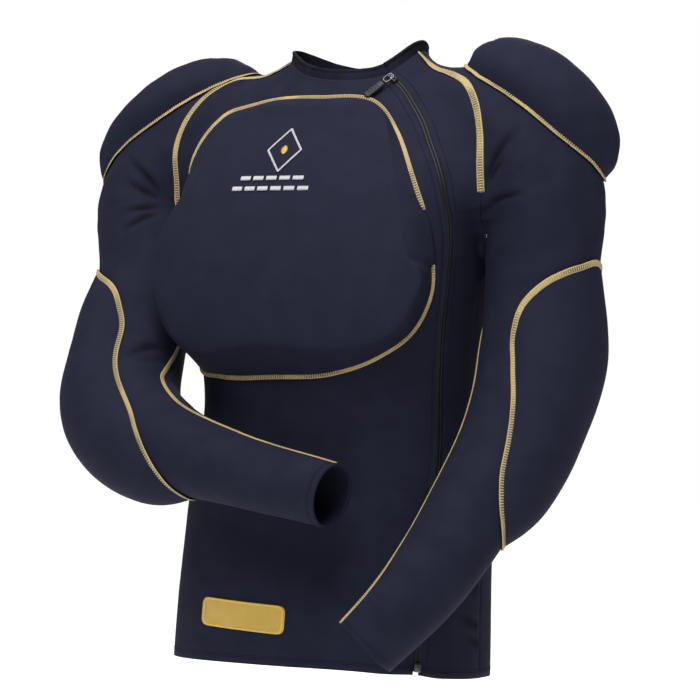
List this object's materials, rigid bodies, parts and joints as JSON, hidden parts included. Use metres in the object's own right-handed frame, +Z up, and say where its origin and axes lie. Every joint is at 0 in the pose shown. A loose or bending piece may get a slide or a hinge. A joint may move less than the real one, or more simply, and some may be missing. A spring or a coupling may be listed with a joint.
{
  "type": "padded compression shirt",
  "caption": "Navy padded compression shirt, filled out as worn, with chest, shoulder and elbow pads, a side-front zip, gold stitched seams and a plain yellow patch at the hem.",
  "frame": {"origin": "middle of the neck, level with the collar seam at the front, where the wearer holds the shirt up", "axes": "+Z up, -Y the shirt's front, +X the wearer's left"},
  "size_m": [0.6484, 0.3422, 0.7104],
  "materials": {
    "knit": "matt stretch knit",
    "pad_knit": "matt stretch knit over foam",
    "tape": "woven zip tape",
    "coil": "satin nylon coil",
    "nickel": "plated, satin",
    "tab": "moulded, satin",
    "yellow": "plain sewn patch"
  },
  "bodies": {
    "shirt": {"front_right": "knit", "front_left": "knit", "back_panel": "knit", "sleeve_right": "knit", "sleeve_left": "knit", "collar": "knit", "shoulder_pad_right": "pad_knit", "shoulder_pad_left": "pad_knit", "elbow_pad_right": "pad_knit", "elbow_pad_left": "pad_knit", "chest_pad": "pad_knit", "label_patch": "yellow", "zip_tape": "tape", "zip_chain": "coil", "zip_slider": "nickel", "zip_box": "nickel"},
    "pull": {"zip_pull_link": "nickel", "zip_pull_tab": "tab"}
  },
  "joints": [
    {"name": "pull_hinge", "type": "hinge", "parent": "shirt", "child": "pull", "pos_m": [0.0723, -0.0569, 0.0016], "axis": [-0.8124, 0.0624, 0.5797], "range_deg": [0, 150]}
  ]
}
